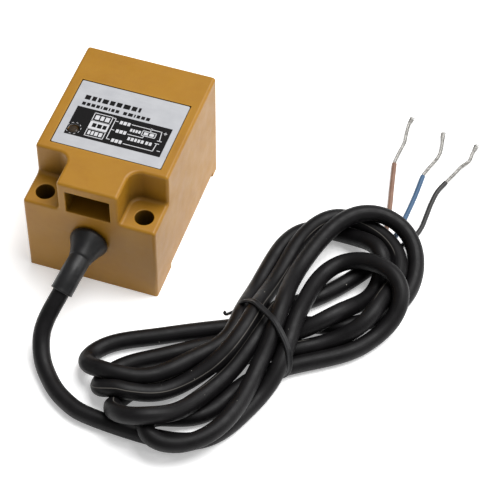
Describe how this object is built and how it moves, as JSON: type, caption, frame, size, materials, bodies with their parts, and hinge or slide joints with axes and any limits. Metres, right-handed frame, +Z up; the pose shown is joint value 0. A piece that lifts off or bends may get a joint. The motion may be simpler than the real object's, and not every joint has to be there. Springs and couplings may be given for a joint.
{
  "type": "inductive proximity sensor",
  "caption": "Block-shaped inductive proximity sensor in mustard plastic with a nameplate, indicator, shelf screw holes and a coiled black cable ending in bare wires.",
  "frame": {"origin": "centre of the housing's base, on the surface it stands on", "axes": "+Y towards the sensing face, +Z up through the nameplate, +X across the housing; the cable leaves the -Y face"},
  "size_m": [0.1138, 0.1447, 0.04],
  "materials": {
    "housing_plastic": "satin moulded mustard plastic",
    "cover_plastic": "satin moulded mustard plastic",
    "nameplate_foil": "silver printed foil",
    "lens_plastic": "dark amber translucent plastic, unlit",
    "relief_rubber": "satin black moulded rubber",
    "clamp_metal": "plain crimped steel",
    "cable_jacket": "satin black jacket",
    "tie_plastic": "black plastic over a wire core",
    "brown_insulation": "satin brown insulation",
    "blue_insulation": "satin blue insulation",
    "black_insulation": "satin black insulation",
    "tinned_strands": "dull tinned strands",
    "ferrite": "ground dark grey ferrite",
    "bobbin_plastic": "natural moulded plastic",
    "coil_copper": "enamelled copper wire",
    "potting": "cast dark resin",
    "board_laminate": "green solder mask",
    "chip_plastic": "moulded black epoxy",
    "led_resin": "clear pale resin",
    "trimmer_plastic": "moulded blue plastic",
    "ceramic_capacitor": "tan ceramic",
    "capacitor_sleeve": "dark blue sleeve",
    "diode_glass": "smoky glass body",
    "resistor_body": "black film on ceramic"
  },
  "bodies": {
    "root": {"housing": "housing_plastic", "base_cover": "cover_plastic", "nameplate": "nameplate_foil", "indicator_lens": "lens_plastic", "strain_relief": "relief_rubber", "cable_clamp": "clamp_metal", "cable_lead": "cable_jacket", "cable_hank": "cable_jacket", "cable_tie": "tie_plastic", "brown_wire": "brown_insulation", "blue_wire": "blue_insulation", "black_wire": "black_insulation", "brown_conductor": "tinned_strands", "blue_conductor": "tinned_strands", "black_conductor": "tinned_strands", "inner_lead_brown": "brown_insulation", "inner_lead_blue": "blue_insulation", "inner_lead_black": "black_insulation", "ferrite_core": "ferrite", "coil_bobbin": "bobbin_plastic", "coil_winding": "coil_copper", "coil_lead_start": "coil_copper", "coil_lead_finish": "coil_copper", "potting_resin": "potting", "circuit_board": "board_laminate", "oscillator_chip": "chip_plastic", "output_transistor": "chip_plastic", "indicator_led": "led_resin", "sensitivity_trimmer": "trimmer_plastic", "filter_capacitor": "ceramic_capacitor", "supply_capacitor": "capacitor_sleeve", "protection_diode": "diode_glass", "resistor_1": "resistor_body", "resistor_2": "resistor_body", "resistor_3": "resistor_body"}
  },
  "joints": []
}
